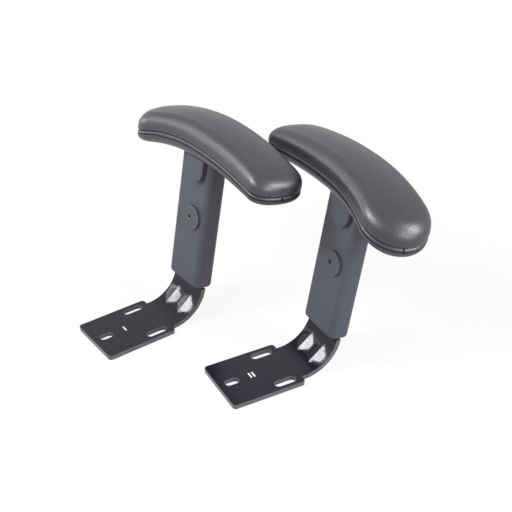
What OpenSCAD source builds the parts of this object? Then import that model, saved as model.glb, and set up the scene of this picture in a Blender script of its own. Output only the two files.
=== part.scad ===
// A right and a left office-chair arm with height adjustment, as a pair.
// +Z is up and z = 0 is the top face of both seat plates.
// The origin is midway between the two long slots of the right plate.
// +X points outward, away from the seat. +Y points to the right arm's front.

/* [Seat plate] */
// Length of the seat plate, inner end to outer end
plate_l = 98; // [85:1:120]
// Width of the seat plate
plate_w = 82; // [78:1:100]
// Thickness of the steel
plate_t = 6; // [5:0.5:7]
// Corner radius of the seat plate
plate_r = 4.5; // [2:0.5:8]
// Width of the bolt slots
slot_w = 11; // [7:0.5:13]
// Length of the two long slots
long_slot_l = 29; // [22:1:34]
// Length of the single short slot
short_slot_l = 19; // [15:1:24]
// Distance between the two long slots
slot_spacing = 60; // [54:1:62]
// Distance from the long slots' centres to the outer end
slot_to_edge = 22.7; // [19:0.1:26]
// Distance from the long slots to the short slot
slot_pitch = 57; // [45:1:60]

/* [Bend and bar] */
// Width of the neck where it leaves the plate
neck_w = 63; // [60:1:74]
// Flat length of the neck before the bend
neck_l = 3.5; // [1:0.5:8]
// Inner radius of the bend
bend_r = 45; // [35:1:60]
// Outward lean of the bar from upright, in degrees
lean = 9.7; // [4:0.1:14]
// Width of the bar
bar_w = 57; // [52:1:62]
// Length of the bar above the bend
bar_l = 164; // [150:1:190]
// Distance of each pressed dart from the middle of the bend
dart_y = 14; // [13.5:0.1:14]
// Width of a pressed dart at its root
dart_w = 28.5; // [22:0.5:29]
// Turn that a dart's crest spans to each side of the bend's middle, in degrees
dart_turn = 13.5; // [11:0.5:16]
// How far a dart's crest stands out of the bend
dart_rise = 2.8; // [2:0.1:3.6]

/* [Sleeve] */
// Room between the bar's edges and the sleeve's wall
side_room = 2; // [1.5:0.1:4]
// Depth of the sleeve, inner face to outer face
sleeve_d = 28; // [28:0.5:32]
// Room between the bar's end and the sleeve's flange at the lowest setting
top_room = 15; // [11:0.5:25]
// Wall of the sleeve
sleeve_wall = 2.5; // [2:0.1:2.6]
// Radius of the sleeve's long edges
sleeve_r = 8.7; // [6:0.1:9]
// Radius of the mouth's outer rim
foot_r = 5.5; // [2:0.5:5.5]
// Thickness of the mouth's floor
floor_t = 6; // [4:0.5:8]
// Gap between the end of the bend and the mouth at the lowest setting
mouth_gap = 1; // [0.5:0.1:2]
// How far the flange that carries the pad stands out of the sleeve's sides
flange_reach = 17; // [15:0.5:20]
// Thickness of that flange
flange_t = 4; // [3:0.5:5]
// Height of the guide bush in the mouth
guide_h = 20; // [14:1:24]
// Height of the shoe on the bar's top end
shoe_h = 15; // [10:1:18]

/* [Height lock] */
// Number of height settings
lock_count = 7; // [3:1:7]
// Distance between two height settings
lock_pitch = 10; // [8:0.5:10]
// Distance between the button's push point and the lock stud
lever_l = 68; // [66:0.5:72]
// Radius of the lock stud
stud_r = 3.4; // [2.6:0.1:3.6]
// Depth of the stud in its hole
stud_bite = 2.9; // [2:0.1:3]
// Sideways place of the lock stud and the lever
lever_y = -3; // [-5:0.5:0]
// Width of the lever
lever_w = 13; // [10:0.5:14]
// Thickness of the lever
lever_t = 2.4; // [2:0.1:2.6]
// Radius of the lever's pivot pin
pivot_r = 1.5; // [1:0.1:1.8]
// Width of the release button
button_w = 35; // [32:0.5:35.5]
// How far the button stands out of the sleeve
button_proud = 6; // [4.5:0.1:7]
// Sideways place of the button
button_y = -6; // [-6.2:0.1:-4]
// Distance from the button's upper edge to the sleeve's flange
button_drop = 0.4; // [0.4:0.1:2]
// Height of the button
button_tall = 32.1; // [30:0.1:33]
// Travel of the button
button_travel = 3.5; // [2.5:0.1:3.5]
// Radius of the round cover over the spring
cover_r = 15; // [14:0.5:16]
// How far the cover stands out of the sleeve
cover_proud = 4; // [3.5:0.1:6]
// Sideways place of the cover
cover_y = -8.5; // [-9:0.5:-7]
// Distance of the cover screw from the cover's middle
cover_screw_y = 3.7; // [3:0.1:4.5]
// Radius of the stop pin
stop_r = 2.5; // [2:0.1:3]
// Sideways place of the stop pin
stop_y = 17; // [15:0.5:20]
// Height of the stop pin above the mouth
stop_h = 59; // [50:1:75]

/* [Pad] */
// Length of the pad
pad_l = 277.5; // [255:0.5:290]
// Width of the pad at its middle
pad_w = 76; // [70:1:84]
// Width of the pad at its front end
pad_w_front = 82; // [72:1:88]
// Width of the pad at its rear end
pad_w_rear = 71; // [60:1:76]
// Thickness of the pad
pad_h = 44.8; // [40:0.2:50]
// Height of the seam above the pad's underside
seam_h = 17.6; // [16:0.2:19]
// Depth of the groove along the seam
seam_depth = 2; // [0.5:0.1:3]
// Height of the groove along the seam
seam_gap = 3; // [1:0.1:4]
// Radius of the upper edge
top_r = 16.7; // [12:0.1:17.4]
// Crown of the top face
crown = 2; // [0.5:0.1:4]
// Radius of the lower edge
under_r = 14; // [8:0.1:14]
// Inward sweep of the front end
sweep_front = 18.4; // [10:0.2:30]
// Inward sweep of the rear end
sweep_rear = 8.4; // [4:0.2:20]
// Drop of the front end's underside below the middle
drop_front = 25; // [15:0.2:30]
// Drop of the rear end's underside below the middle
drop_rear = 9.8; // [5:0.2:15]
// How much thinner the front end is than the middle
thin_front = 1.2; // [0:0.2:6]
// How much thinner the rear end is than the middle
thin_rear = 8.2; // [0:0.2:12]
// Length of the rounded front end
nose_front = 38; // [30:1:46]
// Length of the rounded rear end
nose_rear = 21; // [12:1:26]
// Squareness of the rounded front end
square_front = 2.05; // [2:0.05:3]
// Squareness of the rounded rear end
square_rear = 2.45; // [2:0.05:3.4]
// Outward place of the pad's middle, from the bar
pad_u = 5; // [3:0.5:12]
// Place of the pad's middle along its length, from the bar
pad_y = -19.5; // [-24:0.5:-10]
// How deep the flange sits in the pad
pad_recess = 1.3; // [0.5:0.1:2]
// Thickness of the pad above the flange, up to the stiffener
base_skin = 2.5; // [2:0.1:3]
// How far the stiffener reaches past the pad screws, both ends together
stiff_reach = 24; // [24:1:30]
// Width of the stiffener
stiff_w = 43; // [42:1:46]
// Thickness of the stiffener
stiff_t = 3; // [2:0.5:3]
// Radius of the pad screws
screw_r = 3; // [2.5:0.1:3.2]
// Distance of the pad screws from the sleeve's sides
screw_out = 9; // [7:0.5:10]
// Distance of the pad screws across the flange
screw_pitch_u = 15; // [13:0.5:16]

/* [Pair] */
// Outward place of the left arm
left_x = 76.2; // [75:0.1:140]
// Place of the left arm along the pads
left_y = -178.2; // [-260:0.1:-178]
// Turn of the left arm, in degrees
left_turn = -8.3; // [-9:0.1:0]

/* [Hidden] */
$fn = 64;
clear = 0.3;
run = 0.05;
side_names = ["right", "left"];

// Seat plate and bar
plate_out = slot_to_edge;
bend_x = plate_out + neck_l;
mid_r = bend_r + plate_t / 2;
bend_turn = 90 - lean;
bar_x = bend_x + mid_r * sin(bend_turn);
bar_z = bend_r - mid_r * cos(bend_turn);
stop_slot = lock_pitch * (lock_count - 1);

// Heights along the bar, measured from the end of the bend
mouth_s = mouth_gap;
flange_s = bar_l + top_room;
sleeve_l = flange_s - mouth_s;
seat_s = flange_s + flange_t;
stop_s = mouth_s + stop_h;
button_s = flange_s - button_drop - button_tall;
push_s = button_s + button_w / 2;
stud_s = push_s - lever_l;
pivot_s = (push_s + stud_s) / 2;
cover_s = stud_s + 1;
spring_s = stud_s + 9;
under_s = seat_s - pad_recess;
seam_s = under_s + seam_h;
stiff_s = seat_s + base_skin;
nut_s = stiff_s + stiff_t;

// Depths in the sleeve, negative towards the seat
face_u = -sleeve_d / 2;
wall_u = face_u + sleeve_wall;
bar_u = -plate_t / 2;
cavity_w = bar_w + 2 * side_room;
sleeve_w = cavity_w + 2 * sleeve_wall;
flange_l = sleeve_w + 2 * flange_reach;
screw_pitch_y = sleeve_w + 2 * screw_out;
stiff_l = screw_pitch_y + stiff_reach;
cavity_d = sleeve_d - 2 * sleeve_wall;
cavity_r = sleeve_r - sleeve_wall;
lip_t = 1;
lip_w = 1.2;
lip_u = wall_u + 0.1;
upper_u = lip_u + lip_t + 0.4;
lower_u = bar_u - 0.8 - lever_t;
pivot_u = (upper_u + lower_u + lever_t) / 2;
knuckle_r = pivot_r + 1.7;
ear_t = 3;
ear_y = lever_w / 2 + clear;
nib_r = 2;
spring_r = 2.9;
wire_r = 0.4;
spring_turns = 4;
spring_sides = 6;
spring_seat = cover_proud - 1.5;
nut_h = 5;
head_h = 3.4;
cover_screw_r = 1.3;
cover_head_r = 3;
cover_head_t = 1.2;
head_sink = 0.8;
spring_y = (cover_y + lever_y) / 2;
drop_power = 2.15;
crown_run = 15;
stiff_y = -6;
// The steel is a little thinner in the bend, which runs a little into the neck and the bar
bend_thin = 0.05;
bend_lap = 0.25;

// Places a child in the frame of the bar, with z along the bar and x outward
module on_bar() {
    translate([bar_x, 0, bar_z])
        rotate([0, lean, 0])
            children();
}

// Extrudes a shape drawn in the bar's width and height, from one depth to another
module along_depth(from_u, to_u) {
    translate([from_u, 0, 0])
        rotate([90, 0, 90])
            linear_extrude(to_u - from_u)
                children();
}

// A round bar across the sleeve's depth
module depth_rod(r, from_u, to_u, y, s) {
    along_depth(from_u, to_u)
        translate([y, s])
            circle(r);
}

// A round bar along the width
module width_rod(r, from_y, to_y, u, s) {
    translate([u, to_y, s])
        rotate([90, 0, 0])
            cylinder(r = r, h = to_y - from_y);
}

// A rectangle with round corners
module rounded(size_x, size_y, r) {
    square([size_x - 2 * r, size_y], center = true);
    square([size_x, size_y - 2 * r], center = true);
    for (x = [-1, 1], y = [-1, 1])
        translate([x * (size_x / 2 - r), y * (size_y / 2 - r)])
            circle(r);
}

// A slot along x
module slot_hole(length, x, y) {
    translate([x, y]) {
        square([length - slot_w, slot_w], center = true);
        for (end = [-1, 1])
            translate([end * (length - slot_w) / 2, 0])
                circle(slot_w / 2);
    }
}

// A point in the bend, at a turn from the plate, a radius and a place across the width
function bend_point(turn, r, y) = [bend_x + r * sin(turn), y, bend_r - r * cos(turn)];

// A ridge across the bend's turn: a straight crest, a slope to each side, a toe at each end and a root
module ridge(y, crest_r, toe_r, side_r, root_r, width) {
    mid = bend_turn / 2;
    toe_turn = dart_turn + 8;
    side_turn = 5;
    polyhedron(
        points = [
            bend_point(mid - dart_turn, crest_r, y), bend_point(mid + dart_turn, crest_r, y),
            bend_point(mid - side_turn, side_r, y + width / 2), bend_point(mid + side_turn, side_r, y + width / 2),
            bend_point(mid - side_turn, side_r, y - width / 2), bend_point(mid + side_turn, side_r, y - width / 2),
            bend_point(mid - toe_turn, toe_r, y), bend_point(mid + toe_turn, toe_r, y),
            bend_point(mid, root_r, y)
        ],
        faces = [
            [0, 2, 3], [0, 3, 1], [0, 1, 5], [0, 5, 4], [2, 0, 6], [0, 4, 6], [1, 3, 7], [5, 1, 7],
            [8, 3, 2], [8, 2, 6], [8, 6, 4], [8, 4, 5], [8, 5, 7], [8, 7, 3]
        ]
    );
}

// A pressed dart stands out inside the bend
module dart(y) {
    ridge(y, (bend_r - dart_rise) / cos(dart_turn), bend_r + 0.8, bend_r + 1, bend_r + 4, dart_w);
}

// It leaves a dent outside the bend
module dent(y) {
    outer_r = bend_r + plate_t;
    ridge(y, (outer_r - dart_rise * 0.7) / cos(dart_turn), outer_r + 0.8, outer_r + 1, outer_r + 6, dart_w / 2);
}

module bracket() {
    color([0.23, 0.23, 0.27])
        difference() {
            union() {
                translate([0, 0, -plate_t])
                    linear_extrude(plate_t)
                        difference() {
                            translate([plate_out - plate_l / 2, 0])
                                rounded(plate_l, plate_w, plate_r);
                            slot_hole(long_slot_l, 0, slot_spacing / 2);
                            slot_hole(long_slot_l, 0, -slot_spacing / 2);
                            slot_hole(short_slot_l, -slot_pitch, 0);
                        }
                translate([plate_out - 1, -neck_w / 2, -plate_t])
                    cube([neck_l + 1, neck_w, plate_t]);
                translate([bend_x, 0, bend_r])
                    rotate([0, 90, 0])
                        rotate([90, 0, 0])
                            rotate(-bend_lap)
                                rotate_extrude(angle = bend_turn + 2 * bend_lap, $fn = 128)
                                    translate([bend_r + bend_thin, -neck_w / 2])
                                        square([plate_t - 2 * bend_thin, neck_w]);
                on_bar()
                    translate([bar_u, -bar_w / 2, 0])
                        cube([plate_t, bar_w, bar_l]);
                for (side = [-1, 1])
                    dart(side * dart_y);
            }
            for (side = [-1, 1])
                dent(side * dart_y);
            on_bar() {
                for (i = [0 : lock_count - 1])
                    depth_rod(stud_r + 1.1, bar_u - 1, -bar_u + 1, lever_y, stud_s + i * lock_pitch);
                along_depth(bar_u - 1, -bar_u + 1) {
                    translate([stop_y - stop_r - clear, stop_s])
                        square([2 * (stop_r + clear), stop_slot]);
                    for (end = [0, stop_slot])
                        translate([stop_y, stop_s + end])
                            circle(stop_r + clear);
                }
            }
        }
}

// Half of the sleeve's outline from the side, with the mouth's rim rounded
module half_outline(half) {
    translate([0, mouth_s + foot_r])
        square([half, sleeve_l - foot_r + flange_t / 2]);
    translate([0, mouth_s])
        square([half - foot_r, foot_r + 1]);
    intersection() {
        translate([half - foot_r, mouth_s + foot_r])
            circle(foot_r);
        translate([half - foot_r, mouth_s])
            square(foot_r);
    }
}

// The sleeve's outer form: two crossed blocks and four round corners, all with the same rim
module sleeve_body() {
    half_d = sleeve_d / 2 - sleeve_r;
    half_w = sleeve_w / 2 - sleeve_r;
    along_depth(-half_d, half_d) {
        half_outline(sleeve_w / 2);
        mirror([1, 0])
            half_outline(sleeve_w / 2);
    }
    translate([0, half_w, 0])
        rotate([90, 0, 0])
            linear_extrude(2 * half_w) {
                half_outline(sleeve_d / 2);
                mirror([1, 0])
                    half_outline(sleeve_d / 2);
            }
    for (u = [0, 1], y = [0, 1])
        mirror([u, 0, 0])
            mirror([0, y, 0])
                translate([half_d, half_w, 0])
                    rotate_extrude(angle = 90)
                        half_outline(sleeve_r);
}

// Outline of the button: a half round below straight sides
module tongue(grow, above) {
    translate([button_y, button_s + button_w / 2])
        circle(button_w / 2 + grow);
    translate([button_y - button_w / 2 - grow, button_s + button_w / 2])
        square([button_w + 2 * grow, button_tall - button_w / 2 + above]);
}

// The tongue, cut level at a height above the button's top edge
module button_outline(grow, above) {
    intersection() {
        tongue(grow, above);
        translate([button_y - button_w, button_s - button_w])
            square([2 * button_w, button_w + button_tall + above]);
    }
}

module pad_screw_places() {
    for (u = [-1, 1], y = [-1, 1])
        translate([u * screw_pitch_u / 2, y * screw_pitch_y / 2, 0])
            children();
}

module sleeve() {
    color([0.37, 0.37, 0.40])
        on_bar() {
            difference() {
                union() {
                    sleeve_body();
                    translate([0, 0, flange_s])
                        linear_extrude(flange_t)
                            rounded(sleeve_d, flange_l, 3);
                    depth_rod(stop_r + 2, wall_u - 1, bar_u - 1, stop_y, stop_s);
                }
                difference() {
                    translate([0, 0, mouth_s + floor_t])
                        linear_extrude(sleeve_l - floor_t)
                            rounded(cavity_d, cavity_w, cavity_r);
                    depth_rod(stop_r + 2, wall_u - 1, bar_u - 1, stop_y, stop_s);
                }
                translate([bar_u - clear, -bar_w / 2 - clear, mouth_s - 1])
                    cube([plate_t + 2 * clear, bar_w + 2 * clear, floor_t + 2]);
                along_depth(face_u - 1, wall_u + 1)
                    button_outline(clear, clear);
                depth_rod(spring_r + 0.6, face_u - 1, wall_u + 1, spring_y, spring_s);
                depth_rod(cover_screw_r, face_u - 1, wall_u + 1, cover_y + cover_screw_y, cover_s);
                depth_rod(stop_r, wall_u, -face_u + 1, stop_y, stop_s);
                pad_screw_places()
                    translate([0, 0, flange_s - 1])
                        cylinder(r = screw_r + clear, h = flange_t + 2);
            }
            for (side = [-1, 1])
                difference() {
                    translate([wall_u - 0.5, lever_y + side * (ear_y + ear_t / 2) - ear_t / 2,
                               pivot_s - knuckle_r - 1.5])
                        cube([pivot_u + knuckle_r - wall_u + 0.5, ear_t, 2 * knuckle_r + 3]);
                    width_rod(pivot_r, lever_y - lever_w, lever_y + lever_w, pivot_u, pivot_s);
                }
        }
}

module lower_guide() {
    color([0.16, 0.16, 0.17])
        on_bar()
            translate([0, 0, mouth_s + floor_t])
                linear_extrude(guide_h)
                    difference() {
                        rounded(cavity_d, cavity_w, cavity_r);
                        square([plate_t + 2 * clear, bar_w + 2 * clear], center = true);
                    }
}

// Wraps the bar's outer face, its edges and its end, and leaves the lever's side free
module bar_shoe() {
    color([0.16, 0.16, 0.17])
        on_bar()
            difference() {
                translate([0, 0, bar_l - shoe_h])
                    linear_extrude(shoe_h + 3)
                        intersection() {
                            rounded(cavity_d - 2 * clear, cavity_w - 2 * clear, cavity_r - clear);
                            translate([bar_u, -cavity_w / 2])
                                square([cavity_d, cavity_w]);
                        }
                translate([bar_u - 1, -bar_w / 2, bar_l - shoe_h - 1])
                    cube([plate_t + 1, bar_w, shoe_h + 1]);
            }
}

module release_button() {
    color([0.35, 0.35, 0.38])
        on_bar()
            difference() {
                union() {
                    along_depth(face_u - button_proud, lip_u)
                        button_outline(0, 0);
                    along_depth(lip_u, lip_u + lip_t)
                        button_outline(lip_w, 0);
                    width_rod(nib_r, lever_y - lever_w / 2 + 1, lever_y + lever_w / 2 - 1,
                              upper_u - 0.1 - nib_r, push_s);
                }
                translate([lip_u - nib_r, lever_y - lever_w / 2 - 1.2, button_s - 5])
                    cube([nib_r + lip_t + 1, lever_w + 2.4, push_s - button_s + 5 - 0.6 * nib_r]);
            }
}

// A cranked strip: its upper half lies behind the button, its lower half beside the bar
module lock_lever() {
    color([0.70, 0.70, 0.72])
        on_bar()
            difference() {
                union() {
                    translate([upper_u, lever_y - lever_w / 2, pivot_s])
                        cube([lever_t, lever_w, push_s + 4 - pivot_s]);
                    translate([lower_u, lever_y - lever_w / 2, stud_s - stud_r - 4])
                        cube([lever_t, lever_w, pivot_s - stud_s + stud_r + 4]);
                    width_rod(knuckle_r, lever_y - lever_w / 2, lever_y + lever_w / 2, pivot_u, pivot_s);
                }
                width_rod(pivot_r + run, lever_y - lever_w, lever_y + lever_w, pivot_u, pivot_s);
                depth_rod(stud_r, lower_u - 1, lower_u + lever_t + 1, lever_y, stud_s);
            }
}

module lock_stud() {
    color([0.75, 0.75, 0.77])
        on_bar()
            depth_rod(stud_r, lower_u, bar_u + stud_bite, lever_y, stud_s);
}

module lever_pin() {
    color([0.75, 0.75, 0.77])
        on_bar()
            width_rod(pivot_r, lever_y - ear_y - ear_t, lever_y + ear_y + ear_t, pivot_u, pivot_s);
}

// A coil between the cover and the lever's lower end, as one unbroken tube
spring_u = face_u - spring_seat + wire_r + run;
spring_l = lower_u - run - wire_r - spring_u;
spring_steps = 10 * spring_turns;
function coil_point(i, k) =
    let (turn = 360 * spring_turns * i / spring_steps)
    let (ring = spring_r - wire_r + wire_r * cos(360 * k / spring_sides))
    [
        spring_u + spring_l * i / spring_steps + wire_r * sin(360 * k / spring_sides),
        spring_y + ring * cos(turn),
        spring_s + ring * sin(turn)
    ];

module lever_spring() {
    rings = [for (i = [0 : spring_steps]) [for (k = [0 : spring_sides - 1]) coil_point(i, k)]];
    color([0.78, 0.78, 0.80])
        on_bar()
            tube(rings);
}

// A closed skin over a row of rings with the same number of points
module tube(rings) {
    n = len(rings[0]);
    last = len(rings) - 1;
    sides = [for (i = [0 : last - 1]) for (k = [0 : n - 1])
        let (a = i * n + k, b = i * n + (k + 1) % n)
        each [[a, b, b + n], [a, b + n, a + n]]];
    first_cap = [for (k = [1 : n - 2]) [0, k + 1, k]];
    last_cap = [for (k = [1 : n - 2]) [last * n, last * n + k, last * n + k + 1]];
    polyhedron(points = [for (ring = rings) each ring], faces = concat(sides, first_cap, last_cap));
}

module lock_cover() {
    top_u = face_u - cover_proud;
    color([0.36, 0.36, 0.39])
        on_bar()
            difference() {
                depth_rod(cover_r, top_u, face_u, cover_y, cover_s);
                depth_rod(spring_r + 0.6, face_u - spring_seat, face_u + 1, spring_y, spring_s);
                depth_rod(cover_screw_r, top_u - 1, face_u + 1, cover_y + cover_screw_y, cover_s);
                depth_rod(cover_head_r, top_u - 1, top_u + head_sink + cover_head_t,
                          cover_y + cover_screw_y, cover_s);
            }
}

module cover_screw() {
    head_u = face_u - cover_proud + head_sink;
    color([0.30, 0.30, 0.32])
        on_bar() {
            depth_rod(cover_screw_r, head_u + cover_head_t - 0.1, wall_u, cover_y + cover_screw_y, cover_s);
            difference() {
                depth_rod(cover_head_r - run, head_u, head_u + cover_head_t, cover_y + cover_screw_y, cover_s);
                depth_rod(cover_head_r * 0.45, head_u - 1, head_u + cover_head_t * 0.6,
                          cover_y + cover_screw_y, cover_s, $fn = 6);
            }
        }
}

module stop_pin() {
    color([0.75, 0.75, 0.77])
        on_bar()
            depth_rod(stop_r, wall_u, -face_u - 0.3, stop_y, stop_s);
}

// The pad's plan: stations from rear to front, with the share of full width at each
end_steps = 6;
mid_steps = 12;
tip = 0.985;
pad_stations = concat(
    [for (i = [0 : end_steps - 1]) nose_rear * (1 - tip * cos(90 * i / end_steps))],
    [for (i = [0 : mid_steps]) nose_rear + (pad_l - nose_rear - nose_front) * i / mid_steps],
    [for (i = [1 : end_steps]) pad_l - nose_front * (1 - tip * sin(90 * i / end_steps))]
);
function end_share(q, square) = q <= 0 ? 1 : pow(1 - pow(q, square), 1 / square);
function width_share(t) =
    end_share((nose_rear - t) / nose_rear, square_rear)
    * end_share((t - pad_l + nose_front) / nose_front, square_front);
function half_width(v) =
    (pad_w + (pad_w_front - pad_w_rear) * v + 2 * (pad_w_front + pad_w_rear - 2 * pad_w) * v * v) / 2;
function sweep(v) = -4 * v * v * (sweep_front * (0.5 + v) + sweep_rear * (0.5 - v));
function sweep_slope(v) = (sweep(v + 0.01) - sweep(v - 0.01)) / 0.02 / pad_l;
function drop(v, height) =
    let (share = (height - under_s) / pad_h)
    -pow(abs(2 * v), drop_power) * (v > 0 ? drop_front + thin_front * share : drop_rear + thin_rear * share);

// One point of the pad's skin, at a station, a side, an inset from the outline and a height
function pad_point(t, side, inset, height) =
    let (at = inset + t * (pad_l - 2 * inset) / pad_l)
    let (v = at / pad_l - 0.5)
    let (reach = (half_width(v) - inset) * width_share(t))
    let (slope = sweep_slope(v))
    let (norm = sqrt(1 + slope * slope))
    [
        pad_u + sweep(v) + side * reach / norm,
        pad_y + v * pad_l - side * reach * slope / norm,
        height + drop(v, height)
    ];
function pad_ring(inset, height) = concat(
    [for (t = pad_stations) pad_point(t, -1, inset, height)],
    [for (i = [len(pad_stations) - 1 : -1 : 0]) pad_point(pad_stations[i], 1, inset, height)]
);

// A skin over pad rings from bottom to top, closed by a ladder across each end
module pad_skin(rings) {
    n = len(rings[0]);
    last = (len(rings) - 1) * n;
    sides = [for (i = [0 : len(rings) - 2]) for (k = [0 : n - 1])
        let (a = i * n + k, b = i * n + (k + 1) % n)
        each [[a, b, b + n], [a, b + n, a + n]]];
    bottom = [for (k = [0 : n / 2 - 2]) each [[k, n - 1 - k, k + 1], [k + 1, n - 1 - k, n - 2 - k]]];
    top = [for (f = bottom) [last + f[0], last + f[2], last + f[1]]];
    polyhedron(points = [for (ring = rings) each ring], faces = concat(sides, bottom, top));
}

// Rings of a quarter round, from one angle to another, with the inset and height they give
function round_rings(r, edge_s, from, to, steps) =
    [for (i = [0 : steps]) let (a = from + (to - from) * i / steps)
        pad_ring(r * (1 - cos(a)), edge_s + r * sin(a))];

module pad_base() {
    rings = concat(
        round_rings(under_r, under_s + under_r, -90, 0, 4),
        [pad_ring(0.05, seam_s - seam_gap / 2), pad_ring(seam_depth, seam_s)]
    );
    color([0.30, 0.30, 0.33])
        on_bar()
            difference() {
                pad_skin(rings);
                translate([-sleeve_d / 2 - run, -flange_l / 2 - run, under_s - pad_h])
                    cube([sleeve_d + 2 * run, flange_l + 2 * run, seat_s - under_s + pad_h]);
                translate([pad_u - stiff_w / 2 - clear, stiff_y - stiff_l / 2 - clear, stiff_s])
                    cube([stiff_w + 2 * clear, stiff_l + 2 * clear, seam_h]);
                pad_screw_places()
                    translate([0, 0, seat_s - 1])
                        cylinder(r = screw_r + clear, h = base_skin + 2);
            }
}

module pad_cushion() {
    edge_s = under_s + pad_h - crown - top_r;
    rings = concat(
        [pad_ring(seam_depth, seam_s), pad_ring(0, seam_s + seam_gap / 2)],
        round_rings(top_r, edge_s, 0, 90, 5),
        [
            pad_ring(top_r + crown_run / 2, edge_s + top_r + crown * 0.8),
            pad_ring(top_r + crown_run, edge_s + top_r + crown)
        ]
    );
    color([0.33, 0.33, 0.36])
        on_bar()
            difference() {
                union() {
                    pad_skin(rings);
                    translate([pad_u - stiff_w / 2, stiff_y - stiff_l / 2, nut_s])
                        cube([stiff_w, stiff_l, seam_s + 3 - nut_s]);
                }
                pad_screw_places()
                    translate([0, 0, nut_s - 1])
                        cylinder(r = 2 * screw_r + 0.3, h = nut_h + 2);
            }
}

module pad_plate() {
    color([0.62, 0.62, 0.64])
        on_bar()
            difference() {
                translate([pad_u - stiff_w / 2, stiff_y - stiff_l / 2, stiff_s])
                    cube([stiff_w, stiff_l, stiff_t]);
                pad_screw_places()
                    translate([0, 0, stiff_s - 1])
                        cylinder(r = screw_r + clear, h = stiff_t + 2);
            }
}

module pad_nuts() {
    color([0.72, 0.72, 0.74])
        on_bar()
            pad_screw_places()
                translate([0, 0, nut_s])
                    difference() {
                        cylinder(r = 1.9 * screw_r, h = nut_h, $fn = 6);
                        translate([0, 0, -1])
                            cylinder(r = screw_r + run, h = nut_h + 2);
                    }
}

module pad_screws() {
    color([0.55, 0.55, 0.57])
        on_bar()
            pad_screw_places() {
                translate([0, 0, flange_s - head_h])
                    cylinder(r = 1.8 * screw_r, h = head_h);
                translate([0, 0, flange_s - 0.5])
                    cylinder(r = screw_r, h = nut_s + nut_h - flange_s);
            }
}

// The left arm is turned and moved. Its pad is the right pad's mirror image.
module at_side(side) {
    if (side == "right")
        children();
    else
        translate([left_x, left_y, 0])
            rotate([0, 0, left_turn])
                children();
}

module handed(side) {
    mirror([0, side == "right" ? 0 : 1, 0])
        children();
}

module show(side, piece) {
    at_side(side)
            children();
}

for (side = side_names) {
    show(side, "bracket") bracket();
    show(side, "sleeve") sleeve();
    show(side, "lower_guide") lower_guide();
    show(side, "bar_shoe") bar_shoe();
    show(side, "release_button") release_button();
    show(side, "lock_lever") lock_lever();
    show(side, "lock_stud") lock_stud();
    show(side, "lever_pin") lever_pin();
    show(side, "lever_spring") lever_spring();
    show(side, "lock_cover") lock_cover();
    show(side, "cover_screw") cover_screw();
    show(side, "stop_pin") stop_pin();
    show(side, "pad_base") handed(side) pad_base();
    show(side, "pad_cushion") handed(side) pad_cushion();
    show(side, "pad_plate") handed(side) pad_plate();
    show(side, "pad_nuts") pad_nuts();
    show(side, "pad_screws") pad_screws();
}
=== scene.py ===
import math
import bmesh
import bpy
from mathutils import Matrix, Vector


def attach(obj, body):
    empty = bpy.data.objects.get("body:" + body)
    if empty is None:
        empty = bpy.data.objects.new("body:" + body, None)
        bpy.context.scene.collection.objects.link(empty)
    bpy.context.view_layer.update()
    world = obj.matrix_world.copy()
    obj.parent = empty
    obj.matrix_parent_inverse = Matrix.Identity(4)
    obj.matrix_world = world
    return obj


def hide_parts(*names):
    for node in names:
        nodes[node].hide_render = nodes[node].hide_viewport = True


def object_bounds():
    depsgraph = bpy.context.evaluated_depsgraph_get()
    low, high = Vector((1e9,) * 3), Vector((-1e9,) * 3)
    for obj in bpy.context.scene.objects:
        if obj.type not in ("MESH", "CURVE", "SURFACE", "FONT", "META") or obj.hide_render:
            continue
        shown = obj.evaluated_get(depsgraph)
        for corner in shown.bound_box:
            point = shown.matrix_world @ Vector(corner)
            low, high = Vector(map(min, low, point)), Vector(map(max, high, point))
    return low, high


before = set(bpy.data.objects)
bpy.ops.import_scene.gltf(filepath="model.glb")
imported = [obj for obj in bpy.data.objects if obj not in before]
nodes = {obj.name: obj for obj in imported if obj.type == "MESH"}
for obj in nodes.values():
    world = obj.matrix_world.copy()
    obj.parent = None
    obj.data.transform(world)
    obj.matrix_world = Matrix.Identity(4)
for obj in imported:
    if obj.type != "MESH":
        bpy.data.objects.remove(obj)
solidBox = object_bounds()
sides = ("right", "left")
mm = 0.001
print("frame loaded:", len(nodes), "nodes")

# where the bar and the two arms stand, in millimetres and degrees, as in the part
arm = {"lean": 9.7, "bendStart": 26.2, "midRadius": 48.0, "innerRadius": 45.0,
       "leftAt": (76.2, -178.2, 0.0), "leftTurn": -8.3}
bendTurn = math.radians(90 - arm["lean"])
barFoot = Vector((arm["bendStart"] + arm["midRadius"] * math.sin(bendTurn), 0,
                  arm["innerRadius"] - arm["midRadius"] * math.cos(bendTurn)))
onBar = Matrix.Translation(barFoot) @ Matrix.Rotation(math.radians(arm["lean"]), 4, "Y")
leftTurned = Matrix.Rotation(math.radians(arm["leftTurn"]), 4, "Z")
toLeft = Matrix.Translation(Vector(arm["leftAt"])) @ leftTurned


def placed(side, point):
    # from the bar's own frame in millimetres, with front and rear swapped on the left arm
    u, y, s = point
    if side == "left":
        return (toLeft @ (onBar @ Vector((u, -y, s)))) * mm
    return (onBar @ Vector((u, y, s))) * mm


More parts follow.
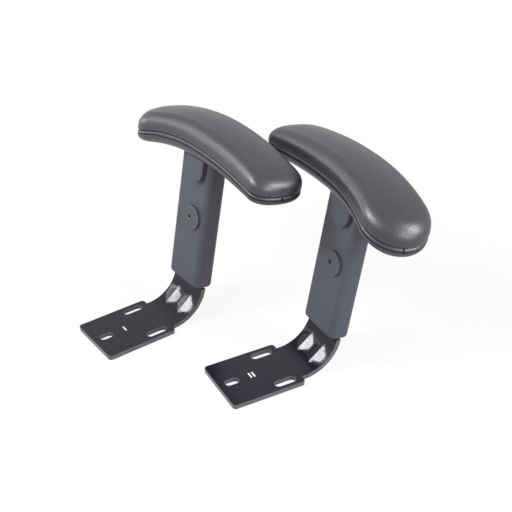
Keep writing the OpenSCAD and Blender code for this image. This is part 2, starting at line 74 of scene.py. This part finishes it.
# shader wiring: values are added, scaled and compared as plain Python
class Wire:
    def __init__(self, wiring, socket):
        self.wiring = wiring
        self.socket = socket

    def calc(self, operation, first, second):
        return self.wiring.node("ShaderNodeMath", {"operation": operation}, {0: first, 1: second})

    def __add__(self, other): return self.calc("ADD", self, other)
    def __radd__(self, other): return self.calc("ADD", other, self)
    def __sub__(self, other): return self.calc("SUBTRACT", self, other)
    def __rsub__(self, other): return self.calc("SUBTRACT", other, self)
    def __mul__(self, other): return self.calc("MULTIPLY", self, other)
    def __lt__(self, other): return self.calc("LESS_THAN", self, other)
    def __gt__(self, other): return self.calc("GREATER_THAN", self, other)
    def __abs__(self): return self.calc("ABSOLUTE", self, 0.0)
    def other(self, out): return Wire(self.wiring, self.socket.node.outputs[out])


class Wiring:
    def __init__(self, tree):
        self.tree = tree

    def node(self, kind, settings=None, sockets=None, out=0):
        made = self.tree.nodes.new(kind)
        for key, value in (settings or {}).items():
            setattr(made, key, value)
        for key, value in (sockets or {}).items():
            self.put(made.inputs[key], value)
        return Wire(self, made.outputs[out])

    def put(self, socket, value):
        if isinstance(value, Wire):
            self.tree.links.new(value.socket, socket)
        else:
            socket.default_value = value

    def backdropRays(self):
        # 1 for rays that see the white backdrop as the camera does, 0 for the light it casts
        path = self.node("ShaderNodeLightPath", out="Is Camera Ray")
        seen = path + path.other("Is Glossy Ray") + path.other("Is Transmission Ray")
        return seen.calc("MINIMUM", seen, 1.0)


noiseGain = 0.55


class Finish(Wiring):
    def __init__(self, name, **constants):
        self.material = bpy.data.materials.new(name)
        self.material.use_nodes = True
        super().__init__(self.material.node_tree)
        self.shader = self.tree.nodes["Principled BSDF"]
        self.feed(**constants)

    def place(self):
        return self.node("ShaderNodeTexCoord", out="Object")

    def noise(self, at, scale, detail):
        return self.node("ShaderNodeTexNoise", {"noise_dimensions": "3D"},
                         {"Vector": at, "Scale": scale, "Detail": detail, "Roughness": noiseGain})

    def cells(self, at, scale, smooth):
        return self.node("ShaderNodeTexVoronoi", {"feature": "SMOOTH_F1"},
                         {"Vector": at, "Scale": scale, "Smoothness": smooth})

    # the mesh's mark for edge wear and painted highlight on rounded edges and upright cut faces
    def edgeWearAndPaintedHighlight(self):
        return self.node("ShaderNodeAttribute", {"attribute_name": "wearAndPaintedHighlight"}, out="Fac")

    def blendColour(self, share, first, second):
        return self.node("ShaderNodeMix", {"data_type": "RGBA"},
                         {"Factor": share, 6: first, 7: second}, out=2)

    def bump(self, height, depth, strength):
        return self.node("ShaderNodeBump", None,
                         {"Height": height, "Distance": depth, "Strength": strength})

    def feed(self, **sockets):
        for socket, value in sockets.items():
            self.put(self.shader.inputs[socket.replace("_", " ")], value)
        return self.material


# in the settings of a finish, a noise is its scale and detail, cells are their scale and smoothness,
# and a bump is its depth in metres and its strength

# coated steel of the seat brackets: satin black, paler on the rounded edges for wear and a painted edge
# highlight, and on the upright cut faces for a painted highlight, with white side tallies
steelLook = {"deep": (0.008, 0.0087, 0.0165, 1), "lift": (0.013, 0.014, 0.024, 1),
             "wearAndPaintedHighlight": (0.38, 0.38, 0.41, 1), "tally": (0.82, 0.82, 0.83, 1),
             "cloud": (38.0, 4.0), "orange": (620.0, 2.0), "patchiness": (210.0, 5.0),
             "leastWearAndPaintedLight": 0.35, "patchyWearAndPaintedLight": 0.9, "specular": 0.23, "coat": 0.07, "coatRough": 0.12,
             "rough": 0.19, "cloudRough": 0.08, "wearAndPaintedLightRough": 0.15, "bump": (0.00006, 0.35)}


def coatedSteel(side):
    look = Finish("coatedSteel." + side, Specular_IOR_Level=steelLook["specular"],
                  Coat_Roughness=steelLook["coatRough"])
    at = look.place()
    cloud = look.noise(at, *steelLook["cloud"])
    orange = look.noise(at, *steelLook["orange"])
    patchiness = look.noise(at, *steelLook["patchiness"])
    # edge wear and painted highlight on rounded edges and cut faces, patchy by noise
    wearAndPaintedLight = look.edgeWearAndPaintedHighlight() * (steelLook["leastWearAndPaintedLight"] + patchiness * steelLook["patchyWearAndPaintedLight"])
    colour = look.blendColour(cloud, steelLook["deep"], steelLook["lift"])
    colour = look.blendColour(wearAndPaintedLight, colour, steelLook["wearAndPaintedHighlight"])
    colour = look.blendColour(tallyMask(look, side, at), colour, steelLook["tally"])
    rough = steelLook["rough"] + cloud * steelLook["cloudRough"] + wearAndPaintedLight * steelLook["wearAndPaintedLightRough"]
    return look.feed(Base_Color=colour, Roughness=rough,
                     Coat_Weight=steelLook["coat"] - wearAndPaintedLight * steelLook["coat"],
                     Normal=look.bump(orange, *steelLook["bump"]))


# painted bars in millimetres on a plate's own axes; "skin" keeps the paint off the lower faces
tally = {"at": (-30.0, 0.0), "length": 9.5, "width": 2.0, "gap": 4.6, "skin": 0.4,
         "right": (0,), "left": (-0.5, 0.5)}


def tallyMask(look, side, at):
    # one bar marks the right plate and two the left, painted on the top face
    turn = math.radians(arm["leftTurn"]) if side == "left" else 0.0
    shift = Vector(arm["leftAt"]) if side == "left" else Vector((0, 0, 0))
    local = look.node("ShaderNodeVectorMath", {"operation": "SUBTRACT"}, {0: at, 1: tuple(shift * mm)})
    local = look.node("ShaderNodeVectorRotate", {"rotation_type": "Z_AXIS"},
                      {"Vector": local, "Angle": -turn})
    x = look.node("ShaderNodeSeparateXYZ", None, {0: local})
    y, z = x.other("Y"), x.other("Z")
    ends = abs(y - tally["at"][1] * mm) < tally["length"] * mm / 2
    bars = None
    for place in tally[side]:
        bar = abs(x - (tally["at"][0] + place * tally["gap"]) * mm) < tally["width"] * mm / 2
        bars = bar if bars is None else bars + bar
    return bars * ends * (z > -tally["skin"] * mm)


# grained moulding of sleeves, buttons, covers and the welt, paler on the rounded edges for wear and a
# painted edge highlight
mouldingLook = {"wearAndPaintedHighlight": (0.29, 0.29, 0.32, 1), "wearAndPaintedLightShare": 0.45, "specular": 0.42,
                "cloud": (26.0, 3.0), "spark": (1150.0, 0.5), "fine": (2300.0, 2.0), "fineShare": 0.5,
                "cloudRough": 0.08, "wearAndPaintedLightRough": -0.08, "bump": (0.00007, 0.5)}


def grainedMoulding(name, deep, lift, rough):
    look = Finish(name, Specular_IOR_Level=mouldingLook["specular"])
    at = look.place()
    cloud = look.noise(at, *mouldingLook["cloud"])
    spark = look.cells(at, *mouldingLook["spark"])
    fine = look.noise(at, *mouldingLook["fine"])
    wearAndPaintedLight = look.edgeWearAndPaintedHighlight()
    colour = look.blendColour(cloud, deep, lift)
    # rounded edges lightened for wear and a painted edge highlight
    colour = look.blendColour(wearAndPaintedLight * mouldingLook["wearAndPaintedLightShare"], colour, mouldingLook["wearAndPaintedHighlight"])
    grain = spark + fine * mouldingLook["fineShare"]
    return look.feed(Base_Color=colour,
                     Roughness=rough + cloud * mouldingLook["cloudRough"] + wearAndPaintedLight * mouldingLook["wearAndPaintedLightRough"],
                     Normal=look.bump(grain, *mouldingLook["bump"]))


# leather-like skin of the pads: pebbles with fine pores, a little shinier on the raised grain
skinLook = {"deep": (0.006, 0.0063, 0.0125, 1), "lift": (0.0125, 0.0130, 0.0235, 1), "specular": 0.92,
            "warp": (300.0, 2.0), "warpReach": (0.0011, 0.0009, 0.0010),
            "pebble": (460.0, 0.45), "pore": (1500.0, 2.0), "cloud": (17.0, 4.0),
            "pebbleHeight": 0.8, "poreHeight": 0.25, "cloudTint": 0.75, "pebbleTint": 0.2,
            "pebbleRough": 0.12, "cloudRough": 0.06, "bumpStrength": 0.6}


def pebbledSkin(name, rough, depth):
    look = Finish(name, Specular_IOR_Level=skinLook["specular"])
    at = look.place()
    warp = look.noise(at, *skinLook["warp"])
    shift = look.node("ShaderNodeCombineXYZ", None,
                      {axis: warp * reach for axis, reach in enumerate(skinLook["warpReach"])})
    bent = look.node("ShaderNodeVectorMath", {"operation": "ADD"}, {0: at, 1: shift})
    pebble = look.cells(bent, *skinLook["pebble"])
    pore = look.noise(at, *skinLook["pore"])
    cloud = look.noise(at, *skinLook["cloud"])
    raised = 1 - pebble
    height = raised * skinLook["pebbleHeight"] + pore * skinLook["poreHeight"]
    tint = cloud * skinLook["cloudTint"] + raised * skinLook["pebbleTint"]
    return look.feed(Base_Color=look.blendColour(tint, skinLook["deep"], skinLook["lift"]),
                     Roughness=rough + pebble * skinLook["pebbleRough"] + cloud * skinLook["cloudRough"],
                     Normal=look.bump(height, depth, skinLook["bumpStrength"]))


# bright plated metal of the inner pieces, brushed along one axis
zincLook = {"deep": (0.46, 0.46, 0.47, 1), "lift": (0.63, 0.63, 0.62, 1), "stretch": (1.0, 9.0, 1.0),
            "brush": (420.0, 4.0), "bloom": (90.0, 3.0), "rough": 0.26, "brushRough": 0.18,
            "bump": (0.00004, 0.4)}


def zincPlate():
    look = Finish("zincPlate", Metallic=1.0)
    at = look.place()
    stretched = look.node("ShaderNodeVectorMath", {"operation": "MULTIPLY"},
                          {0: at, 1: zincLook["stretch"]})
    brush = look.noise(stretched, *zincLook["brush"])
    bloom = look.noise(at, *zincLook["bloom"])
    return look.feed(Base_Color=look.blendColour(bloom, zincLook["deep"], zincLook["lift"]),
                     Roughness=zincLook["rough"] + brush * zincLook["brushRough"],
                     Normal=look.bump(brush, *zincLook["bump"]))


# dark pieces with one soft mottle: the screws, and the plastic that slides
mottledLooks = {
    "blackenedSteel": {"deep": (0.006, 0.006, 0.007, 1), "lift": (0.016, 0.016, 0.018, 1), "specular": 0.25,
                       "cloud": (260.0, 4.0), "rough": 0.34, "cloudRough": 0.16, "bump": (0.00005, 0.4)},
    "slidePlastic": {"deep": (0.018, 0.018, 0.019, 1), "lift": (0.042, 0.042, 0.044, 1), "specular": 0.4,
                     "cloud": (120.0, 3.0), "rough": 0.38, "cloudRough": 0.14, "bump": (0.00004, 0.3)}}


def mottledDark(name):
    chosen = mottledLooks[name]
    look = Finish(name, Specular_IOR_Level=chosen["specular"])
    cloud = look.noise(look.place(), *chosen["cloud"])
    return look.feed(Base_Color=look.blendColour(cloud, chosen["deep"], chosen["lift"]),
                     Roughness=chosen["rough"] + cloud * chosen["cloudRough"],
                     Normal=look.bump(cloud, *chosen["bump"]))


steel = {side: coatedSteel(side) for side in sides}
sleevePlastic = grainedMoulding("sleevePlastic", (0.044, 0.047, 0.061, 1), (0.066, 0.069, 0.087, 1), 0.50)
buttonPlastic = grainedMoulding("buttonPlastic", (0.042, 0.045, 0.059, 1), (0.064, 0.067, 0.084, 1), 0.46)
padSkin = pebbledSkin("padSkin", 0.31, 0.00026)
traySkin = pebbledSkin("traySkin", 0.34, 0.00022)
weltSkin = grainedMoulding("weltSkin", (0.009, 0.009, 0.012, 1), (0.016, 0.016, 0.020, 1), 0.60)
zinc = zincPlate()
screwSteel = mottledDark("blackenedSteel")
slideBlack = mottledDark("slidePlastic")
print("finishes made")


def linked(name, data):
    made = bpy.data.objects.new(name, data)
    bpy.context.scene.collection.objects.link(made)
    return made


def meshFrom(name, bm):
    mesh = bpy.data.meshes.new(name)
    bm.to_mesh(mesh)
    bm.free()
    return mesh


def newPiece(name, bm, material, body, smoothAngle=None):
    mesh = meshFrom(name, bm)
    mesh.materials.append(material)
    mesh.shade_smooth()
    if smoothAngle:
        mesh.set_sharp_from_angle(angle=math.radians(smoothAngle))
    piece = linked(name, mesh)
    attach(piece, body)
    return piece


def bakeModifiers(piece):
    evaluated = piece.evaluated_get(bpy.context.evaluated_depsgraph_get())
    mesh = bpy.data.meshes.new_from_object(evaluated)
    piece.modifiers.clear()
    piece.data = mesh


# pad form in millimetres, in the bar's own frame, with the part's sizes
pad = {"length": 277.5, "wide": 76.0, "wideFront": 82.0, "wideRear": 71.0, "thick": 44.8, "seamUp": 17.6,
       "topRound": 16.7, "crown": 2.0, "crownRun": 15.0, "underRound": 14.0,
       "sweepFront": 18.4, "sweepRear": 8.4, "dropFront": 25.0, "dropRear": 9.8,
       "thinFront": 1.2, "thinRear": 8.2, "dropPower": 2.15, "noseFront": 38.0, "noseRear": 21.0,
       "squareFront": 2.05, "squareRear": 2.45, "outward": 5.0, "along": -19.5, "under": 181.7,
       "noseSteps": 18, "midSteps": 56, "slopeStep": 0.01}
seamLevel = pad["under"] + pad["seamUp"]


def noseStations(square):
    # share of the nose's length still to go and share of the full width, from the tip inward
    for i in range(pad["noseSteps"] + 1):
        a = math.pi / 2 * i / pad["noseSteps"]
        yield tuple(max(f, 0.0) ** (2 / square) for f in (math.cos(a), math.sin(a)))


def padStations():
    # distance from the rear end and share of the full width, crowded at the two noses
    stations = [(pad["noseRear"] * (1 - q), w) for q, w in noseStations(pad["squareRear"])]
    straight = pad["length"] - pad["noseRear"] - pad["noseFront"]
    stations += [(pad["noseRear"] + straight * i / pad["midSteps"], 1.0) for i in range(1, pad["midSteps"])]
    front = [(pad["length"] - pad["noseFront"] * (1 - q), w) for q, w in noseStations(pad["squareFront"])]
    return stations + front[::-1]


def sweep(v):
    return -4 * v * v * (pad["sweepFront"] * (0.5 + v) + pad["sweepRear"] * (0.5 - v))


def drop(v, height):
    end = "Front" if v > 0 else "Rear"
    thinner = pad["thin" + end] * (height - pad["under"]) / pad["thick"]
    return abs(2 * v) ** pad["dropPower"] * (pad["drop" + end] + thinner)


def padPoint(t, share, hand, inset, height, inward=0.0):
    # inward runs from 0 at the rounded edge to 1 on the middle line
    shift = inset + pad["crownRun"] * inward
    v = (shift + t * (pad["length"] - 2 * shift) / pad["length"]) / pad["length"] - 0.5
    half = (pad["wide"] + (pad["wideFront"] - pad["wideRear"]) * v
            + 2 * (pad["wideFront"] + pad["wideRear"] - 2 * pad["wide"]) * v * v) / 2
    reach = hand * (half - inset) * share * (1 - inward)
    step = pad["slopeStep"]
    slope = (sweep(v + step) - sweep(v - step)) / (2 * step) / pad["length"]
    norm = math.sqrt(1 + slope * slope)
    return (pad["outward"] + sweep(v) + reach / norm,
            pad["along"] + v * pad["length"] - reach * slope / norm, height - drop(v, height))


def padLoop(inset, height, inward=0.0):
    stations = padStations()
    return ([padPoint(t, w, -1, inset, height, inward) for t, w in stations]
            + [padPoint(t, w, 1, inset, height, inward) for t, w in reversed(stations)])


# welding distance and shortest edge of a lofted form, in metres
loft = {"weld": 1e-5, "sliver": 1e-6}


def loftLoops(loops, side, closeRound=False):
    bm = bmesh.new()
    rows = [[bm.verts.new(placed(side, p)) for p in loop] for loop in loops]
    count = len(rows[0])
    pairs = list(zip(rows, rows[1:])) + ([(rows[-1], rows[0])] if closeRound else [])
    for low, high in pairs:
        for k in range(count):
            bm.faces.new((low[k], low[(k + 1) % count], high[(k + 1) % count], high[k]))
    bmesh.ops.remove_doubles(bm, verts=bm.verts, dist=loft["weld"])
    bmesh.ops.dissolve_degenerate(bm, edges=bm.edges, dist=loft["sliver"])
    bmesh.ops.recalc_face_normals(bm, faces=bm.faces)
    return bm


# insets and distances from the seam, in millimetres, of the lip that cushion and tray both have there
lip = [(3.0, 0.0), (2.2, 0.15), (1.3, 0.45), (0.6, 0.95), (0.18, 1.7), (0.0, 2.7)]
# inset of the row on the middle line that closes the hidden flat faces behind the lip
seamMiddle = 14.0
cushionForm = {"bulge": -0.25, "bulgeUp": 5.0, "roundSteps": 14, "crownSteps": 8,
               "seamInsets": (14.0, 10.0, 6.0)}


def padCushion(side):
    # the hidden underside level with the seam, then the lip, the side, the rounded edge and the crown
    edge = pad["under"] + pad["thick"] - pad["crown"] - pad["topRound"]
    loops = [padLoop(seamMiddle, seamLevel, 1.0)]
    loops += [padLoop(inset, seamLevel) for inset in cushionForm["seamInsets"]]
    loops += [padLoop(inset, seamLevel + up) for inset, up in lip]
    loops += [padLoop(cushionForm["bulge"], seamLevel + cushionForm["bulgeUp"])]
    for i in range(cushionForm["roundSteps"] + 1):
        a = math.pi / 2 * i / cushionForm["roundSteps"]
        loops.append(padLoop(pad["topRound"] * (1 - math.cos(a)), edge + pad["topRound"] * math.sin(a)))
    for i in range(1, cushionForm["crownSteps"] + 1):
        f = i / cushionForm["crownSteps"]
        rise = pad["crown"] * (1 - (1 - f) ** 2)
        loops.append(padLoop(pad["topRound"], edge + pad["topRound"] + rise, f))
    bm = loftLoops(loops, side)
    return newPiece(side + ".padCushion", bm, padSkin, side + "_arm")


# turns of the tray's round underside in degrees, with a fine groove that follows the seam
trayForm = {"turns": (0, 1.5, 5, 6.5, 12, 20, 30, 40, 50, 60, 70, 80, 90), "groove": (1.5, 5), "deep": 1.4,
            "seamInsets": (12.0, 4.0), "flatSteps": 6, "smooth": 50}


def padTray(side):
    loops = [padLoop(seamMiddle, seamLevel, 1.0)]
    loops += [padLoop(inset, seamLevel) for inset in trayForm["seamInsets"]]
    loops += [padLoop(inset, seamLevel - down) for inset, down in lip]
    for turn in trayForm["turns"]:
        a = math.radians(turn)
        groove = trayForm["deep"] if turn in trayForm["groove"] else 0.0
        loops.append(padLoop(pad["underRound"] * (1 - math.cos(a)) + groove,
                             pad["under"] + pad["underRound"] * (1 - math.sin(a))))
    for i in range(1, trayForm["flatSteps"] + 1):
        loops.append(padLoop(pad["underRound"], pad["under"], i / trayForm["flatSteps"]))
    bm = loftLoops(loops, side)
    return newPiece(side + ".padTray", bm, traySkin, side + "_arm", trayForm["smooth"])


welt = {"inset": 2.1, "radius": 0.75, "round": 8}


def padWelt(side):
    loops = []
    for k in range(welt["round"]):
        a = 2 * math.pi * k / welt["round"]
        loops.append(padLoop(welt["inset"] - welt["radius"] * math.cos(a),
                             seamLevel + welt["radius"] * math.sin(a)))
    bm = loftLoops(loops, side, True)
    newPiece(side + ".padWelt", bm, weltSkin, side + "_arm")


flangeSeat = {"deep": 28.1, "long": 100.1, "top": 183.0, "tall": 30.0}
tick = {"wide": 1.7, "reach": 5.0, "tall": 6.0, "below": 2.4}


def trayCuts():
    # the pocket for the sleeve's flange, and a gate mark at each tip, as middles and sizes
    cuts = [((0, 0, flangeSeat["top"] - flangeSeat["tall"] / 2),
             (flangeSeat["deep"], flangeSeat["long"], flangeSeat["tall"]))]
    for end in (0, pad["length"]):
        u, y, s = padPoint(end, 0, 1, 0, seamLevel)
        cuts.append(((u, y, s - tick["below"]), (tick["wide"], tick["reach"], tick["tall"])))
    return cuts


def cutTray(tray, side):
    bm = bmesh.new()
    for middle, size in trayCuts():
        for v in bmesh.ops.create_cube(bm, size=1.0)["verts"]:
            v.co = placed(side, [m + c * d for m, c, d in zip(middle, v.co, size)])
    bmesh.ops.recalc_face_normals(bm, faces=bm.faces)
    cutter = linked("trayCuts", meshFrom("trayCuts", bm))
    cut = tray.modifiers.new("trayCuts", "BOOLEAN")
    cut.operation = "DIFFERENCE"
    cut.solver = "EXACT"
    cut.object = cutter
    bakeModifiers(tray)
    bpy.data.objects.remove(cutter)
    tray.data.set_sharp_from_angle(angle=math.radians(trayForm["smooth"]))


for side in sides:
    cushion = padCushion(side)
    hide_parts(side + "_pad_cushion")
    tray = padTray(side)
    cutTray(tray, side)
    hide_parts(side + "_pad_base")
    padWelt(side)
print("pads made")

# rounding and the weld before it in millimetres, the least turn in degrees that is rounded,
# and the share of painted highlight on upright cut faces
edges = {"bracket": {"width": 0.9, "steps": 3, "turn": 24, "weld": 0.08, "cutFacePaintedHighlight": 0.32},
         "sleeve": {"width": 1.1, "steps": 3, "turn": 40, "weld": 0.002, "cutFacePaintedHighlight": 0.0},
         "release_button": {"width": 1.5, "steps": 4, "turn": 40, "weld": 0.002, "cutFacePaintedHighlight": 0.0},
         "lock_cover": {"width": 1.3, "steps": 4, "turn": 40, "weld": 0.002, "cutFacePaintedHighlight": 0.0}}
# turns in degrees that count as flat and as smooth, and the most a cut face's normal points up or down
rounding = {"flat": 0.4, "smooth": 38, "upright": 0.05, "profile": 0.5}


def roundedCopy(side, name, material, body):
    # the node's own shape with its corners rounded, the rounding marked for edge wear and a painted edge
    # highlight, and upright cut faces marked for a painted highlight
    node, edge = side + "_" + name, edges[name]
    bm = bmesh.new()
    bm.from_mesh(nodes[node].data)
    bmesh.ops.remove_doubles(bm, verts=bm.verts, dist=edge["weld"] * mm)
    bmesh.ops.dissolve_limit(bm, angle_limit=math.radians(rounding["flat"]), verts=bm.verts, edges=bm.edges)
    wearAndPaintedHighlight = bm.faces.layers.float.new("wearAndPaintedHighlight")
    corners = [e for e in bm.edges if e.is_manifold and e.calc_face_angle(0) > math.radians(edge["turn"])]
    made = bmesh.ops.bevel(bm, geom=corners, offset=edge["width"] * mm, offset_type="OFFSET",
                           segments=edge["steps"], profile=rounding["profile"], affect="EDGES",
                           clamp_overlap=True)
    # upright cut faces get a share of painted highlight, and rounded faces get the full edge wear and
    # painted edge highlight
    for face in bm.faces:
        face[wearAndPaintedHighlight] = edge["cutFacePaintedHighlight"] if abs(face.normal.z) < rounding["upright"] else 0.0
    for face in made["faces"]:
        face[wearAndPaintedHighlight] = 1.0
    piece = newPiece(side + "." + name, bm, material, body, rounding["smooth"])
    # flat faces keep their own normal, so the turn stays in the rounded corners
    piece.modifiers.new("evenNormals", "WEIGHTED_NORMAL").keep_sharp = True
    bakeModifiers(piece)
    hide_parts(node)


for side in sides:
    roundedCopy(side, "bracket", steel[side], "base")
    roundedCopy(side, "sleeve", sleevePlastic, side + "_arm")
    roundedCopy(side, "release_button", buttonPlastic, side + "_button")
    roundedCopy(side, "lock_cover", buttonPlastic, side + "_arm")
print("rigid pieces rounded")

# nodes that stay as they are and only get a finish
innerFinishes = ((slideBlack, ("lower_guide", "bar_shoe")),
                 (zinc, ("lock_lever", "lock_stud", "lever_pin", "lever_spring", "stop_pin", "pad_plate",
                         "pad_nuts")),
                 (screwSteel, ("cover_screw", "pad_screws")))
for side in sides:
    for material, names in innerFinishes:
        for name in names:
            slots = nodes[side + "_" + name].data.materials
            slots.clear()
            slots.append(material)
print("inner pieces finished")


def aimed(start, goal):
    turn = (goal - start).to_track_quat("-Z", "Y").to_matrix().to_4x4()
    return Matrix.Translation(start) @ turn


# the photo's view: places and lens in millimetres, roll in degrees, reach in metres
view = {"from": (-501.95, -911.34, 754.87), "at": (219.84, 48.99, -7.67), "lens": 68.09, "sensor": 36.0,
        "roll": 0.27, "reach": 50.0}


def makeCamera():
    data = bpy.data.cameras.new("camera")
    data.lens = view["lens"]
    data.sensor_width = view["sensor"]
    data.clip_end = view["reach"]
    camera = linked("camera", data)
    roll = Matrix.Rotation(math.radians(view["roll"]), 4, "Z")
    camera.matrix_world = aimed(Vector(view["from"]) * mm, Vector(view["at"]) * mm) @ roll
    bpy.context.scene.camera = camera


# place, aim and size in metres, and power in watts
lamps = {"leftBox": ((-1.25, 0.50, 1.50), (0.10, 0.50, 0.10), (2.0, 0.6), 28),
         "bendKick": ((-1.27, 0.54, 1.52), (0.07, 0.0, 0.05), (0.24, 0.24), 15),
         "farLeft": ((-0.59, 1.31, 0.39), (0.12, -0.10, 0.25), (0.6, 0.30), 3.8),
         "nearRight": ((1.12, -1.82, 1.32), (0.13, -0.23, 0.22), (0.45, 0.8), 31),
         "nearFill": ((0.20, -1.95, 0.70), (0.13, -0.15, 0.15), (0.8, 0.8), 13)}


def softbox(name):
    place, goal, size, power = lamps[name]
    data = bpy.data.lights.new(name, "AREA")
    data.shape = "RECTANGLE"
    data.size, data.size_y = size
    data.energy = power
    linked(name, data).matrix_world = aimed(Vector(place), Vector(goal))


# in metres; the share of plain white rises from "white" to 1 beyond "plainReach", away from the shadow
floorLook = {"middle": (0.2, -0.1), "half": 6.0, "grid": 8, "below": 0.0002, "paint": (0.88, 0.88, 0.88, 1),
             "rough": 0.9, "white": 0.89, "plainReach": 0.35, "whiten": 0.35}


def paleFloor():
    bm = bmesh.new()
    bmesh.ops.create_grid(bm, x_segments=floorLook["grid"], y_segments=floorLook["grid"],
                          size=floorLook["half"])
    mesh = meshFrom("floor", bm)
    floor = linked("floor", mesh)
    floor.location = (*floorLook["middle"], solidBox[0].z - floorLook["below"])
    look = Finish("floorPaint", Base_Color=floorLook["paint"], Roughness=floorLook["rough"])
    glow = look.node("ShaderNodeEmission", None, {"Color": (1, 1, 1, 1), "Strength": 1.0})
    away = look.node("ShaderNodeVectorMath", {"operation": "LENGTH"}, {0: look.place()}, out="Value")
    whiter = away.calc("MAXIMUM", away - floorLook["plainReach"], 0.0) * floorLook["whiten"]
    white = whiter.calc("MINIMUM", whiter + floorLook["white"], 1.0)
    mixed = look.node("ShaderNodeMixShader", None,
                      {0: look.backdropRays() * white, 1: Wire(look, look.shader.outputs[0]), 2: glow})
    look.put(look.tree.nodes["Material Output"].inputs["Surface"], mixed)
    mesh.materials.append(look.material)


# strength of the light that the white world casts; the camera and reflections see it at 1
skyCast = 0.20


def skyLight():
    world = bpy.data.worlds.new("studio")
    world.use_nodes = True
    bpy.context.scene.world = world
    wiring = Wiring(world.node_tree)
    background = world.node_tree.nodes["Background"]
    wiring.put(background.inputs["Color"], (1, 1, 1, 1))
    wiring.put(background.inputs["Strength"], wiring.backdropRays() * (1 - skyCast) + skyCast)


makeCamera()
paleFloor()
skyLight()
for name in lamps:
    softbox(name)
bpy.context.scene.view_settings.view_transform = "Standard"
print("studio set")
